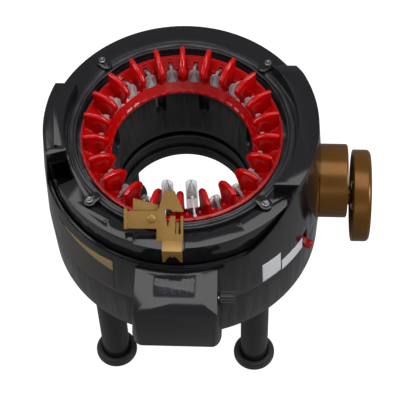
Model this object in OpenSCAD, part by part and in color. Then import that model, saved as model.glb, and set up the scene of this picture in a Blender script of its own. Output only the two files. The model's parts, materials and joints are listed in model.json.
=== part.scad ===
// Hand-cranked circular knitting machine with a row counter.
// Millimetres, +Z up. The origin is on the floor, under the centre of the needle circle.
// The crank points to +X and the row counter to -Y.

/* [Body] */
// Outer radius of the lower shell at its bottom edge
body_r = 126; // [124:1:156]
// Height of the shells' bottom edge above the floor
leg_drop = 106; // [80:1:150]
// Height of the lower shell, from its bottom edge to the parting line
lower_h = 57; // [54:1:60]
// Height of the outer rim above the parting line
rim_h = 60; // [56:1:62]
// Height of the deck above the outer rim
deck_h = 27.5; // [24:0.5:34]
// Height of the two raised crescents above the deck
crescent_h = 14; // [8:1:20]
// Thickness of the shells' walls
wall = 3; // [2:0.2:4]
// Width of the flat top of a crescent
crescent_w = 18; // [12:1:18]

/* [Needle bed] */
// Number of needles
needle_count = 22; // [22:2:22]
// Radius of the needle circle, measured to the needles' inner faces
needle_r = 70; // [58:1:71]
// Direction of the first fin, seen from above
first_fin_az = 91.68; // [80:0.01:100]
// Width of a needle's flat shank
needle_w = 9.6; // [6:0.2:9.8]
// Length of a needle
needle_len = 66; // [60:1:66]
// How far the raised needles stand above the others
needle_lift = 33; // [10:1:33]
// Thickness of a red fin
fin_t = 5; // [3:0.2:6]
// Thickness of the rotating tube behind the needles, at its foot
tube_t = 8; // [6.8:0.1:12]

/* [Drive] */
// Teeth on the crown gear under the needle bed
gear_teeth = 88; // [88:1:88]
// Teeth on the crank's pinion
pinion_teeth = 16; // [16:1:16]
// Height of the crank's axis above the parting line
crank_h = 14; // [12:1:16]
// Radius of the crank shaft
shaft_r = 6; // [4:0.5:8]
// Radius of the gold hub
drum_r = 34; // [26:1:36]
// Width of the gold hub
drum_w = 26; // [16:1:34]
// Radius of the turning disc that the hand holds
knob_r = 43; // [34:1:52]
// Width of the turning disc
knob_w = 16.6; // [12:0.2:22]
// Distance between the crank's axis and the disc's axis
crank_throw = 24.5; // [16:0.5:26]

/* [Row counter] */
// Width of the counter's case along its top edge
counter_w = 71; // [64:1:82]
// How far the case stands out in front of the body
counter_depth = 35.5; // [34:0.5:44]
// Radius of a number wheel
wheel_r = 8; // [6.5:0.1:8.1]
// Number of number wheels
wheel_count = 4; // [4:1:4]

/* [Legs] */
// Radius of a leg
leg_r = 13.2; // [10:0.1:13.5]
// Radius of a rubber foot
foot_r = 20; // [18:0.5:26]
// Height of a rubber foot
foot_h = 9; // [6:0.5:14]
// Sideways distance of a leg from the centre
leg_x = 68; // [60:1:68]

/* [Hidden] */
$fn = 96;
// Small gaps: a running fit, a fit between fixed pieces, and free space between moving pieces
run_gap = 0.08;
fit_gap = 0.15;
free_gap = 0.5;
// A cut runs this far past the faces that it opens
past = 1;

// Heights above the floor
base_z = leg_drop;
part_z = base_z + lower_h;
rim_z = part_z + rim_h;
deck_z = rim_z + deck_h;
crest_z = deck_z + crescent_h;
crank_z = part_z + crank_h;
fin_tip_z = deck_z + 11.5;

// Radii of the outer surface at each height
part_r = body_r + 1.3;
rim_r = body_r - 1.2;
crest_r = body_r - 4.5;
deck_r = body_r - 5.8;
bay_r = deck_r + 0.5;
crescent_in_r = crest_r - crescent_w;

// Needle bed, counted outwards from the needle circle
pitch_az = 360 / needle_count;
groove_gap = 0.3;
shank_t = 3.4;
spine_t = 2;
spine_w = 4.5;
butt_w = 9;
butt_t = 5;
tube_r = needle_r - tube_t;
bed_r = needle_r + 8.6;
skirt_in_r = needle_r + 18.6;
skirt_r = needle_r + 22;
floor_r = needle_r + 20;
seat_r = skirt_r + 1;
ring_in_r = needle_r + 24;
ring_r = needle_r + 31;
bed_rim_r = needle_r + 27.4;
cam_r = bed_r + 1.4;
cam_out_r = cam_r + 3.7;
bed_top_z = deck_z - 9.5;
bed_plate_t = 4;
fin_floor_z = fin_tip_z - 17;
lip_z = fin_tip_z - 30.4;
lip_r = needle_r - 0.7;
slope_r = needle_r + 17;
skin_t = 3.5;
band_z = fin_tip_z - 40;
band_r = needle_r - 6.5;
band_t = 3.3;
tube_bottom_z = fin_tip_z - 98;
needle_top_z = fin_tip_z - 16;
needle_bottom_z = needle_top_z - needle_len;
butt_z = needle_bottom_z + 4;
raised = [10, 11];

// Crown gear and pinion
gear_face = 7;
gear_mid_r = needle_r + 18.8;
circular_pitch = 2 * PI * gear_mid_r / gear_teeth;
pinion_pitch_r = pinion_teeth * circular_pitch / (2 * PI);
addendum = 2;
dedendum = 2.4;
tooth_share = 0.4;
gear_plane_z = crank_z + pinion_pitch_r;
gear_body_t = 4;
gear_top_z = gear_plane_z + dedendum + gear_body_t;

// Crank, measured along +X from the body's axis
seat_x = body_r - 7;
collar_r = drum_r + 2.5;
collar_w = 5;
drum_x = seat_x + collar_w + 0.3;
drum_end_x = drum_x + drum_w;
pin_r = 8.8;
knob_gap = 5.7;
knob_x = drum_end_x + knob_gap;
knob_z = crank_z - crank_throw;
knob_bore_r = 5;
knob_rim = 3;
pinion_x = gear_mid_r - gear_face / 2 - 0.6;
pinion_w = gear_face + 1.4;
bearing_r = 11;
cup_r = collar_r + 3;
cup_t = 4;

// Row counter
counter_y = -body_r + 4;
counter_front_y = counter_y - counter_depth - 3;
counter_top_z = rim_z - 5;
counter_drop = 10.5;
counter_h = 66;
counter_bottom_z = counter_top_z - counter_h;
counter_draft = 4;
counter_wall = 2.4;
counter_slope = atan(counter_drop / (counter_y - counter_front_y));
wheel_y = counter_y - 18;
wheel_w = 5.4;
wheel_pitch = 6.3;
wheel_z = counter_top_z - 16.2;
counter_shaft_r = 2;
lever_pivot_y = counter_y - 7;
lever_pin_r = 1.9;
counter_lever_z = counter_bottom_z + 36;
reset_r = 7;
reset_w = 14;
reset_x = counter_w / 2 + counter_draft * (counter_top_z - wheel_z + reset_r) / counter_h + free_gap;
reset_ribs = 16;
window_w = 35;
window_l = 17.5;
window_mid = 15;
window_shift = -1.2;
window_inset = 0.2;
pane_t = 1.6;

// Fixed inner rings
hole_r = tube_r - 3.7;
hole_top_z = fin_tip_z - 120.5;
hole_low_z = fin_tip_z - 132;
hole_flare = 19;
inner_ring_r = tube_r - 1.2;
inner_ring_top_z = fin_tip_z - 105;
inner_ring_h = 14.5;

// Legs
leg_y = sqrt(pow(body_r - leg_r - 0.1, 2) - pow(leg_x, 2));
leg_plug_r = leg_r - 4;
leg_plug_h = 18;
leg_seat_z = 4;

// Mode lever
lever_az = -28;
lever_travel = 14;
lever_low_z = part_z - 2;
lever_w = 6;
lever_h = 8;

// Yarn guide: its plate leans inwards, and its outline is drawn flat and then stood up
guide_lean = 41.4;
guide_y = -(deck_r - 5.2);
guide_z = deck_z - 0.5;
guide_t = 2.4;
arm_pivot = [-20.3, 21];

function two_digits(i) = str(i < 9 ? "0" : "", i + 1);
function needle_name(i) = str("needle_", two_digits(i));
function latch_name(i) = str("latch_", two_digits(i));
function wheel_name(i) = str("number_wheel_", i + 1);
function fin_az(i) = first_fin_az + i * pitch_az;
function needle_az(i) = first_fin_az + (i + 0.5) * pitch_az;
function is_raised(i) = len(search(i, raised)) > 0;
function lift(i) = is_raised(i) ? needle_lift : 0;

// ---- shared shapes ----

module at_az(az, r = 0, z = 0) {
    rotate([0, 0, az]) translate([r, 0, z]) children();
}

module tube(r_out, r_in, z0, z1) {
    difference() {
        translate([0, 0, z0]) cylinder(r = r_out, h = z1 - z0);
        translate([0, 0, z0 - past]) cylinder(r = r_in, h = z1 - z0 + 2 * past);
    }
}

// A wedge of space between two directions, for cutting rings
module wedge(az0, az1, z0, z1) {
    reach = 2 * body_r;
    mid = (az0 + az1) / 2;
    translate([0, 0, z0]) linear_extrude(height = z1 - z0)
        polygon([[0, 0], for (a = [az0, mid, az1]) reach * [cos(a), sin(a)]]);
}

// A solid or a cut along +X at the crank's height
module along_x(r, x0, x1, z = crank_z) {
    translate([x0, 0, z]) rotate([0, 90, 0]) cylinder(r = r, h = x1 - x0);
}

module leg_places() {
    for (sx = [-1, 1], sy = [-1, 1]) translate([sx * leg_x, sy * leg_y, 0]) children();
}

// The space that the counter's case takes, cut from the shells behind it
module counter_doorway() {
    door_w = 30;
    door_h = 34;
    translate([-door_w / 2, -body_r - 10, counter_bottom_z + 16]) cube([door_w, 20, door_h]);
}

module lever_slot() {
    slot_w = lever_w + 1;
    at_az(lever_az, body_r - 10, lever_low_z - free_gap)
        translate([0, -slot_w / 2, 0]) cube([20, slot_w, lever_travel + lever_h + 2 * free_gap]);
}

// Everything inside the shells' outer surface, grown by a gap
module body_fill(gap) {
    rotate_extrude() polygon([
        [0, base_z - past], [body_r + gap, base_z - past], [body_r + gap, base_z], [part_r + gap, part_z],
        [rim_r + gap, rim_z], [rim_r + gap, crest_z], [0, crest_z]]);
}

// ---- shells ----

leg_az = atan2(leg_y, leg_x);
screw_az = [leg_az - 28, 168 - leg_az, 152 + leg_az, 348 - leg_az];
post_r = 4.5;
post_at_r = body_r - wall - 3.5;
screw_r = 1.5;
screw_head_r = 3.3;
screw_head_h = 1.8;
screw_l = 11;

module screw_places() {
    for (az = screw_az) at_az(az, post_at_r) children();
}

module lower_housing() {
    color("#17181b") difference() {
        union() {
            rotate_extrude() polygon([
                [body_r - wall, base_z], [body_r, base_z], [part_r, part_z], [part_r - wall, part_z]]);
            screw_places() translate([0, 0, base_z + wall + fit_gap])
                cylinder(r = post_r, h = part_z - base_z - wall - fit_gap);
        }
        screw_places() translate([0, 0, base_z]) cylinder(r = screw_r, h = lower_h + past);
        lever_slot();
        along_x(cup_r + fit_gap, seat_x - cup_t - past, part_r + past);
    }
}

module base_plate() {
    plate_r = body_r - wall - fit_gap;
    color("#141517") difference() {
        union() {
            rotate_extrude() polygon([
                [hole_r, hole_top_z], [hole_r, hole_low_z], [hole_r + hole_flare, base_z], [plate_r, base_z],
                [plate_r, base_z + wall], [hole_r + hole_flare + wall / 2, base_z + wall],
                [hole_r + wall, hole_low_z + wall / 2], [hole_r + wall, hole_top_z]]);
            intersection() {
                leg_places() translate([0, 0, base_z]) cylinder(r = leg_plug_r + wall, h = leg_plug_h + wall);
                cylinder(r = plate_r, h = part_z);
            }
        }
        leg_places() translate([0, 0, base_z - past]) cylinder(r = leg_plug_r + fit_gap, h = leg_plug_h + past);
        screw_places() translate([0, 0, base_z - past]) cylinder(r = screw_r, h = wall + 2 * past);
        screw_places() translate([0, 0, base_z - past])
            cylinder(r = screw_head_r + fit_gap, h = screw_head_h + past);
    }
}

module inner_ring() {
    ring_t = 3;
    web_t = 3;
    stand_in_r = cam_r + 0.5;
    web_z = inner_ring_top_z - inner_ring_h;
    color("#1c1d20") union() {
        tube(inner_ring_r + ring_t, inner_ring_r, web_z, inner_ring_top_z);
        tube(cam_out_r, inner_ring_r, web_z, web_z + web_t);
        tube(cam_out_r, stand_in_r, base_z + wall, web_z + web_t);
    }
}

// The opening at the front, where the rim drops and sweeps up again towards the crank
sweep_x0 = body_r * 0.47;
sweep_x1 = body_r * 0.85;
sweep_bow = 1.35;
crescent_front_y = -body_r * 0.5;
left_end_az = 197.8;
left_back_y = 41;
right_back_y = 58;
bevel_run = 10;
bevel_drop = 4;

module front_opening() {
    steps = 10;
    top = crest_z + past;
    sweep = [for (k = [0:steps]) let(t = k / steps)
        [sweep_x0 + (sweep_x1 - sweep_x0) * t, rim_z + (top - rim_z) * pow(t, sweep_bow)]];
    translate([0, crescent_front_y, 0]) rotate([90, 0, 0]) linear_extrude(height = body_r)
        polygon(concat([[-past, top], [-past, rim_z]], sweep));
    wedge(left_end_az, 270, rim_z, top);
}

module back_opening() {
    top = crest_z + past;
    translate([-2 * body_r, left_back_y, rim_z]) cube([2 * body_r, 2 * body_r, top - rim_z]);
    translate([-past, right_back_y + bevel_run, rim_z]) cube([2 * body_r, 2 * body_r, top - rim_z]);
    rotate([90, 0, 90]) linear_extrude(height = 2 * body_r)
        polygon([[right_back_y, crest_z], [right_back_y + bevel_run + past, crest_z - bevel_drop],
            [right_back_y + bevel_run + past, top], [right_back_y, top]]);
}

// Ring of the crescents and the wall that carries them
module crescent_ring() {
    rotate_extrude() polygon([
        [bay_r + past, rim_z - 2 * past], [rim_r, rim_z - 2 * past], [rim_r, rim_z], [crest_r, crest_z],
        [crescent_in_r, crest_z], [crescent_in_r, deck_z + fit_gap], [bay_r, deck_z + fit_gap]]);
}

module upper_housing() {
    groove_r = rim_r - 1.4;
    groove_t = 1;
    post_h = 24;
    peg_hole_r = 1.6;
    color("#17181b") difference() {
        union() {
            rotate_extrude() polygon([
                [part_r - wall, part_z], [part_r, part_z], [rim_r, rim_z], [bay_r, rim_z], [bay_r, rim_z - 9]]);
            difference() {
                crescent_ring();
                front_opening();
                back_opening();
            }
            intersection() {
                along_x(cup_r, seat_x - cup_t, body_r + 2 * past);
                body_fill(0);
            }
            screw_places() translate([0, 0, part_z]) cylinder(r = post_r, h = post_h);
        }
        tube(groove_r + groove_t, groove_r, rim_z - 1.5, rim_z);
        along_x(collar_r + fit_gap, seat_x, body_r + 5);
        along_x(bearing_r, seat_x - cup_t - past, seat_x + past);
        screw_places() translate([0, 0, part_z - past]) cylinder(r = peg_hole_r, h = post_h);
        counter_doorway();
        lever_slot();
        at_az(left_end_az - 3.5, crest_r - 10, crest_z - 5) cylinder(r = 1.4, h = 5 + past);
    }
}

// ---- deck ----

clip_r = 5.5;
clip_t = 2.6;
clip_at_r = needle_r + 37;
clip_az0 = 45;
notch_az = [left_end_az, 209.7];
base_x0 = -36.5;
base_x1 = 8;
base_t = 1.4;
base_in_y = -(needle_r + 35.5);

module clip_places() {
    for (k = [0:3]) at_az(clip_az0 + 90 * k, clip_at_r) children();
}

module top_cover() {
    deck_t = 3;
    skirt_t = 3;
    step_r = ring_r + 7.5;
    step_h = 3.2;
    ledge_t = 4;
    ledge_top_z = bed_top_z - bed_plate_t - free_gap;
    foot_z = rim_z - 7;
    notch_floor_z = rim_z + 1;
    color("#1b1c1f") difference() {
        union() {
            rotate_extrude() polygon([
                [ring_r + fit_gap, deck_z], [deck_r, deck_z], [deck_r - 1, foot_z],
                [deck_r - 1 - skirt_t, foot_z], [deck_r - skirt_t, deck_z - deck_t],
                [ring_r + skirt_t, deck_z - deck_t],
                [ring_r + skirt_t, ledge_top_z - ledge_t], [seat_r, ledge_top_z - ledge_t],
                [seat_r, ledge_top_z], [ring_r + fit_gap, ledge_top_z]]);
            difference() {
                tube(deck_r - 1.5, ring_r + 1, notch_floor_z - 2, notch_floor_z);
                wedge(notch_az[1] + 1, notch_az[0] + 359, rim_z - 10, deck_z);
            }
        }
        difference() {
            wedge(notch_az[0], notch_az[1], notch_floor_z, deck_z + past);
            cylinder(r = ring_r + skirt_t, h = deck_z + 2 * past);
        }
        // the deck's inner edge slopes down to the ring between the two front clips
        intersection() {
            rotate_extrude() polygon([[ring_r, deck_z - step_h], [step_r, deck_z], [step_r, deck_z + past],
                [ring_r - past, deck_z + past], [ring_r - past, deck_z - step_h]]);
            wedge(clip_az0 + 180, clip_az0 + 270, deck_z - 10, deck_z + 2 * past);
        }
        translate([base_x0 - fit_gap, -deck_r - 10, deck_z - base_t - fit_gap])
            cube([base_x1 - base_x0 + 2 * fit_gap, deck_r + 10 + base_in_y, 10]);
        clip_places() translate([0, 0, deck_z - 10]) cylinder(r = screw_r, h = 20);
        at_az(237.3, 113, deck_z - 1) cylinder(r = 1.6, h = 2);
        at_az(299, 110.5, deck_z - 1) cylinder(r = 1.6, h = 2);
        along_x(cup_r + free_gap, ring_r, body_r);
    }
}

module retaining_ring() {
    groove_in_r = ring_in_r + 2;
    groove_out_r = ring_r - 1.6;
    foot_z = bed_top_z + free_gap;
    color("#232427") difference() {
        tube(ring_r, ring_in_r, foot_z, deck_z);
        tube(groove_out_r, groove_in_r, deck_z - 0.8, deck_z + past);
    }
}

module retaining_clips() {
    clip_reach = 6;
    color("#101113") difference() {
        clip_places() translate([0, 0, deck_z + fit_gap]) {
            cylinder(r = clip_r, h = clip_t);
            translate([-clip_reach, 0, 0]) cylinder(r = clip_r - 0.6, h = clip_t);
            translate([-clip_reach, -clip_r + 0.6, 0]) cube([clip_reach, 2 * clip_r - 1.2, clip_t]);
        }
        clip_places() translate([0, 0, deck_z]) cylinder(r = screw_r, h = 10);
    }
}

// One cross-head screw that points down, with the underside of its head at the origin
module screw() {
    cross_w = 0.9;
    cross_l = 4;
    cross_h = 0.9;
    difference() {
        union() {
            cylinder(r = screw_head_r, h = screw_head_h);
            translate([0, 0, -screw_l]) cylinder(r = screw_r, h = screw_l + screw_head_h / 2);
        }
        for (turn = [0, 90]) rotate([0, 0, turn])
            translate([-cross_l / 2, -cross_w / 2, screw_head_h - cross_h]) cube([cross_l, cross_w, cross_h + past]);
    }
}

// Four screws hold the clips down, and four like them close the housing from below
module screws() {
    color("silver") {
        clip_places() translate([0, 0, deck_z + fit_gap + clip_t]) screw();
        screw_places() translate([0, 0, base_z + screw_head_h]) mirror([0, 0, 1]) screw();
    }
}

// ---- rotating needle bed ----

// The crown's underside from the band at its inner edge to its rim, lowered by a gap
function crown_under(gap) = [
    [band_r, band_z - gap], [band_r + band_t, band_z - gap], [needle_r + groove_gap, lip_z - skin_t - gap],
    [slope_r, bed_top_z + fit_gap - gap]];

// A grooved tube with a funnel-shaped bore, the plate at its top and the skirt that carries the gear
module needle_cylinder() {
    window_w = 10;
    window_floor_z = fin_tip_z - 64;
    pair_mid_az = 92.7;
    pair_half_az = 18.5;
    plate_under_z = bed_top_z - 10.5;
    color("#1c1d20") difference() {
        union() {
            rotate_extrude() polygon(concat(
                [[tube_r, tube_bottom_z]],
                crown_under(fit_gap),
                [[bed_rim_r, bed_top_z], [bed_rim_r, bed_top_z - bed_plate_t],
                 [skirt_in_r, bed_top_z - bed_plate_t], [bed_r, plate_under_z], [bed_r, tube_bottom_z]]));
            tube(skirt_r, skirt_in_r, gear_top_z, bed_top_z);
        }
        for (i = [0:needle_count - 1]) at_az(needle_az(i), needle_r - groove_gap, tube_bottom_z - past)
            translate([0, -needle_w / 2 - groove_gap, 0])
                cube([bed_r - needle_r + 2, needle_w + 2 * groove_gap, bed_top_z - tube_bottom_z + 2 * past]);
        for (i = [0:needle_count - 1]) at_az(needle_az(i)) latch_slit(plate_under_z - past);
        for (k = [0:3], side = [-1, 1]) at_az(pair_mid_az + 90 * k + side * pair_half_az, tube_r - past) {
            translate([0, -window_w / 2, window_floor_z + window_w / 2])
                cube([needle_r - tube_r + past, window_w, band_z - window_floor_z]);
            translate([0, 0, window_floor_z + window_w / 2]) rotate([0, 90, 0])
                cylinder(r = window_w / 2, h = needle_r - tube_r + past);
        }
    }
}

// A ring with straight teeth on its underside
module crown_gear() {
    in_r = gear_mid_r - gear_face / 2;
    out_r = gear_mid_r + gear_face / 2;
    root_z = gear_plane_z + dedendum;
    tip_z = gear_plane_z - addendum;
    tooth_w = circular_pitch * tooth_share;
    flank = tan(20);
    foot = tooth_w / 2 + dedendum * flank;
    crest = tooth_w / 2 - addendum * flank;
    color("#c9c9c4") union() {
        tube(out_r, in_r, root_z, gear_top_z);
        intersection() {
            tube(out_r, in_r, tip_z - past, root_z + past);
            for (k = [0:gear_teeth - 1]) rotate([0, 0, (k + 0.5) * 360 / gear_teeth])
                translate([in_r - past, 0, 0]) rotate([90, 0, 90])
                    linear_extrude(height = gear_face + 2 * past)
                        polygon([[-foot, root_z], [-crest, tip_z], [crest, tip_z], [foot, root_z],
                            [foot, root_z + past / 2], [-foot, root_z + past / 2]]);
        }
    }
}

// The narrow slit that a swinging latch passes through, drawn at a needle's direction
module latch_slit(low_z) {
    slit_w = 2 * (latch_tip_r + groove_gap);
    translate([needle_r, -slit_w / 2, low_z]) cube([latch_slit_l, slit_w, fin_tip_z - low_z]);
}

// Outline of a fin, from its outer tip over its crest to the nose above the bore, and down to its neck
fin_outline = [[17.5, 0], [11, 0.4], [4, -0.4], [-2, -5], [-5.8, -9.5], [-7, -13], [-6.2, -16.5], [-3.8, -20],
    [-2, -25], [-0.9, -31], [2, -31], [17.5, -18.5]];

// The red crown: a conical skin between the fins, with a band at its inner edge that carries on into the funnel
module fin_ring() {
    foot_z = band_z - past;
    slit_r = needle_r + latch_pin_out + cheek_r + free_gap;
    slit_w = 2 * (latch_hub_w / 2 + cheek_t + 0.15) + 2 * groove_gap;
    cut_h = fin_tip_z - foot_z;
    color("#c8102e") difference() {
        union() {
            rotate_extrude() polygon(concat(
                crown_under(0),
                [[floor_r, bed_top_z + fit_gap], [floor_r, fin_floor_z], [slope_r, fin_floor_z],
                 [lip_r, lip_z]]));
            for (i = [0:needle_count - 1]) at_az(fin_az(i), 0, fin_tip_z)
                translate([0, fin_t / 2, 0]) rotate([90, 0, 0]) linear_extrude(height = fin_t)
                    polygon([for (p = fin_outline) [needle_r + p[0], p[1]]]);
        }
        for (i = [0:needle_count - 1]) at_az(needle_az(i)) {
            translate([needle_r - groove_gap, -needle_w / 2 - groove_gap, foot_z])
                cube([shank_t + 2 * groove_gap, needle_w + 2 * groove_gap, cut_h]);
            translate([needle_r, -slit_w / 2, foot_z])
                cube([slit_r - needle_r, slit_w, cut_h]);
            latch_slit(foot_z);
        }
    }
}

eye_w = 3;
eye_l = 13;
latch_l = 16.5;
latch_r = 0.85;
latch_tip_r = 1.5;
latch_hub_r = 1.6;
latch_hub_w = 1.8;
latch_pin_r = 0.6;
latch_pin_drop = 20;
latch_pin_out = 5.2;
latch_open = 105;
cheek_t = 1.2;
cheek_r = 1.7;
latch_shut = 26;
latch_slit_l = 18.8;
hook_w = 2.4;

// The flat shank with its eye, its hook, its rib, its butt and the two cheeks that hold the latch's pin
module needle_shank(top, bottom) {
    round_r = needle_w / 2;
    cheek_y = latch_hub_w / 2 + 0.15;
    difference() {
        union() {
            translate([0, -round_r, bottom]) cube([shank_t, needle_w, needle_len - round_r]);
            translate([0, 0, top - round_r]) rotate([0, 90, 0]) cylinder(r = round_r, h = shank_t);
            translate([0, -spine_t / 2, bottom])
                cube([shank_t + spine_w, spine_t, needle_len - latch_pin_drop - 3.2]);
            translate([0, -butt_w / 2 + 1, bottom + 4]) cube([bed_r - needle_r + 0.9, butt_w - 2, butt_t]);
        }
        translate([-past, -eye_w / 2, top - round_r - eye_l]) cube([shank_t + 2 * past, eye_w, eye_l]);
        translate([-past, 0, top - round_r]) rotate([0, 90, 0]) cylinder(r = eye_w / 2, h = shank_t + 2 * past);
    }
    translate([0, hook_w / 2, top]) rotate([90, 0, 0]) linear_extrude(height = hook_w)
        polygon([[0.4, -2.8], [0.4, -0.1], [5.4, -0.3], [8.2, -1.1], [10, -2.8], [10.6, -5.2], [9.5, -5.2],
            [8.9, -3.7], [7.7, -2.5], [5.4, -1.9], [3, -2.6]]);
    for (side = [-1, 1]) translate([0, side * (cheek_y + cheek_t / 2), top - latch_pin_drop]) {
        translate([latch_pin_out, 0, 0]) rotate([90, 0, 0]) cylinder(r = cheek_r, h = cheek_t, center = true);
        translate([shank_t / 2, -cheek_t / 2, -cheek_r]) cube([latch_pin_out - shank_t / 2, cheek_t, 2 * cheek_r]);
    }
    translate([latch_pin_out, 0, top - latch_pin_drop]) rotate([90, 0, 0])
        cylinder(r = latch_pin_r, h = 2 * cheek_y + cheek_t, center = true);
}

// A latch that turns on the pin, drawn at an angle from straight up
module latch_arm(angle) {
    stem_z = latch_hub_r / 2 + 0.3;
    translate([latch_pin_out, 0, 0]) rotate([0, angle, 0]) difference() {
        union() {
            rotate([90, 0, 0]) cylinder(r = latch_hub_r, h = latch_hub_w, center = true);
            translate([0, 0, stem_z]) cylinder(r = latch_r, h = latch_l - stem_z);
            translate([0, 0, latch_l]) sphere(r = latch_tip_r, $fn = 24);
        }
        rotate([90, 0, 0]) cylinder(r = latch_pin_r + run_gap, h = 2 * latch_hub_w, center = true);
    }
}

// The raised needles' latches hang open and are nodes of their own, and the others stand shut
module needle(i) {
    top = needle_top_z + lift(i);
    color("#eef0ee") at_az(needle_az(i), needle_r) {
        needle_shank(top, needle_bottom_z + lift(i));
        if (!is_raised(i)) translate([0, 0, top - latch_pin_drop]) latch_arm(latch_shut);
    }
}

module latch(i) {
    color("#f4f4f2") at_az(needle_az(i), needle_r, needle_top_z + lift(i) - latch_pin_drop) latch_arm(latch_open);
}

// ---- stationary cam round the needle bed ----

cam_mid_az = 271.7;
cam_top_az = 34;
cam_lobe_az = 100;
cam_depth = 2.3;
cam_slot_h = butt_t + 2;

// The track that the needles' butts follow: level all round, with a lobe that lifts them at the front
module cam_track() {
    low_z = butt_z - 1;
    high_z = low_z + needle_lift;
    half_top = cam_r * sin(cam_top_az / 2);
    half_foot = cam_r * sin(cam_lobe_az / 2);
    intersection() {
        tube(cam_r + cam_depth, cam_r - past, low_z - past, high_z + 2 * cam_slot_h);
        rotate([0, 0, cam_mid_az]) union() {
            difference() {
                translate([0, 0, low_z]) cylinder(r = cam_out_r, h = cam_slot_h);
                translate([0, -half_foot, low_z - past])
                    cube([2 * cam_r, 2 * half_foot, cam_slot_h + 2 * past]);
            }
            rotate([90, 0, 90]) linear_extrude(height = 2 * cam_r) polygon([
                [-half_foot - past, low_z], [-half_foot, low_z], [-half_top, high_z], [half_top, high_z],
                [half_foot, low_z], [half_foot + past, low_z], [half_foot + past, low_z + cam_slot_h],
                [half_foot, low_z + cam_slot_h], [half_top + 2, high_z + cam_slot_h],
                [-half_top - 2, high_z + cam_slot_h], [-half_foot, low_z + cam_slot_h],
                [-half_foot - past, low_z + cam_slot_h]]);
        }
    }
}

module cam_ring() {
    top_z = bed_top_z - bed_plate_t - 10;
    foot_z = inner_ring_top_z - inner_ring_h + 3;
    color("#b9b9b2") difference() {
        tube(cam_out_r, cam_r, foot_z, top_z);
        cam_track();
    }
}

// ---- crank ----

module crank_bearing() {
    inner_x = skirt_r + 5;
    color("#b8b8b8") difference() {
        along_x(bearing_r, inner_x, seat_x);
        along_x(shaft_r + run_gap, inner_x - past, seat_x + past);
    }
}

module crank_collar() {
    lip = 1.5;
    color("#8a6b2e") translate([seat_x, 0, crank_z]) rotate([0, 90, 0]) rotate_extrude() polygon([
        [shaft_r + 0.5, 0], [collar_r, 0], [collar_r, collar_w - lip], [collar_r - lip, collar_w],
        [shaft_r + 0.5, collar_w]]);
}

shaft_in_x = pinion_x - 0.5;
shaft_out_x = drum_x + 18;

module crank_shaft() {
    color("silver") along_x(shaft_r, shaft_in_x, shaft_out_x);
}

module pinion() {
    root_r = pinion_pitch_r - dedendum;
    tip_r = pinion_pitch_r + addendum;
    tooth_w = circular_pitch * tooth_share;
    flank = tan(20);
    foot = tooth_w / 2 + dedendum * flank;
    crest = tooth_w / 2 - addendum * flank;
    hub_r = shaft_r + 3;
    color("#d8d4c8") translate([pinion_x, 0, crank_z]) difference() {
        union() {
            rotate([0, 90, 0]) cylinder(r = root_r, h = pinion_w);
            rotate([0, 90, 0]) cylinder(r = hub_r, h = pinion_w + 2);
            for (k = [0:pinion_teeth - 1]) rotate([k * 360 / pinion_teeth, 0, 0]) rotate([90, 0, 90])
                linear_extrude(height = pinion_w)
                    polygon([[-foot, root_r - 0.6], [foot, root_r - 0.6], [foot, root_r], [crest, tip_r],
                        [-crest, tip_r], [-foot, root_r]]);
        }
        translate([-past, 0, 0]) rotate([0, 90, 0]) cylinder(r = shaft_r, h = pinion_w + 2 + 2 * past);
    }
}

// Outline of a turned edge: a quarter circle that ends a disc's rim
function rounded_edge(r, h, round_r, steps = 8) =
    [for (k = [0:steps]) let(a = 90 * k / steps)
        [r - round_r + round_r * cos(a), h - round_r + round_r * sin(a)]];

module crank_hub() {
    round_r = 5;
    color("#8a6b2e") difference() {
        translate([drum_x, 0, crank_z]) rotate([0, 90, 0])
            rotate_extrude()
                polygon(concat([[0, 0], [drum_r, 0]], rounded_edge(drum_r, drum_w, round_r), [[0, drum_w]]));
        along_x(shaft_r, drum_x - past, shaft_out_x);
        along_x(knob_bore_r, drum_end_x - 12, drum_end_x + past, knob_z);
    }
}

disc_screw_r = 2;
disc_screw_head_r = 6.5;
disc_screw_head_h = 2.5;
journal_end_x = knob_x + knob_w - 5;

module crank_pin() {
    color("#8a6b2e") difference() {
        union() {
            along_x(knob_bore_r, drum_end_x - 12, journal_end_x, knob_z);
            along_x(pin_r, drum_end_x, knob_x - 0.4, knob_z);
        }
        along_x(disc_screw_r, journal_end_x - 14, journal_end_x + past, knob_z);
    }
}

module crank_disc() {
    round_r = 4;
    dish = 9;
    hub_r = 13;
    floor_r = knob_r - knob_rim;
    color("#8a6b2e") difference() {
        translate([knob_x, 0, knob_z]) rotate([0, 90, 0])
            rotate_extrude() polygon(concat(
                [[0, 0], [hub_r, 0], [hub_r + 2, dish], [floor_r - 3, dish], [floor_r, 0], [knob_r, 0]],
                rounded_edge(knob_r, knob_w, round_r), [[0, knob_w]]));
        along_x(knob_bore_r + run_gap, knob_x - past, knob_x + knob_w + past, knob_z);
        along_x(disc_screw_head_r + free_gap, journal_end_x, knob_x + knob_w + past, knob_z);
    }
}

module crank_screw() {
    color("silver") union() {
        along_x(disc_screw_head_r, journal_end_x + 0.3, journal_end_x + 0.3 + disc_screw_head_h, knob_z);
        along_x(disc_screw_r, journal_end_x - 12, journal_end_x + 0.5, knob_z);
    }
}

// ---- mode lever ----

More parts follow.
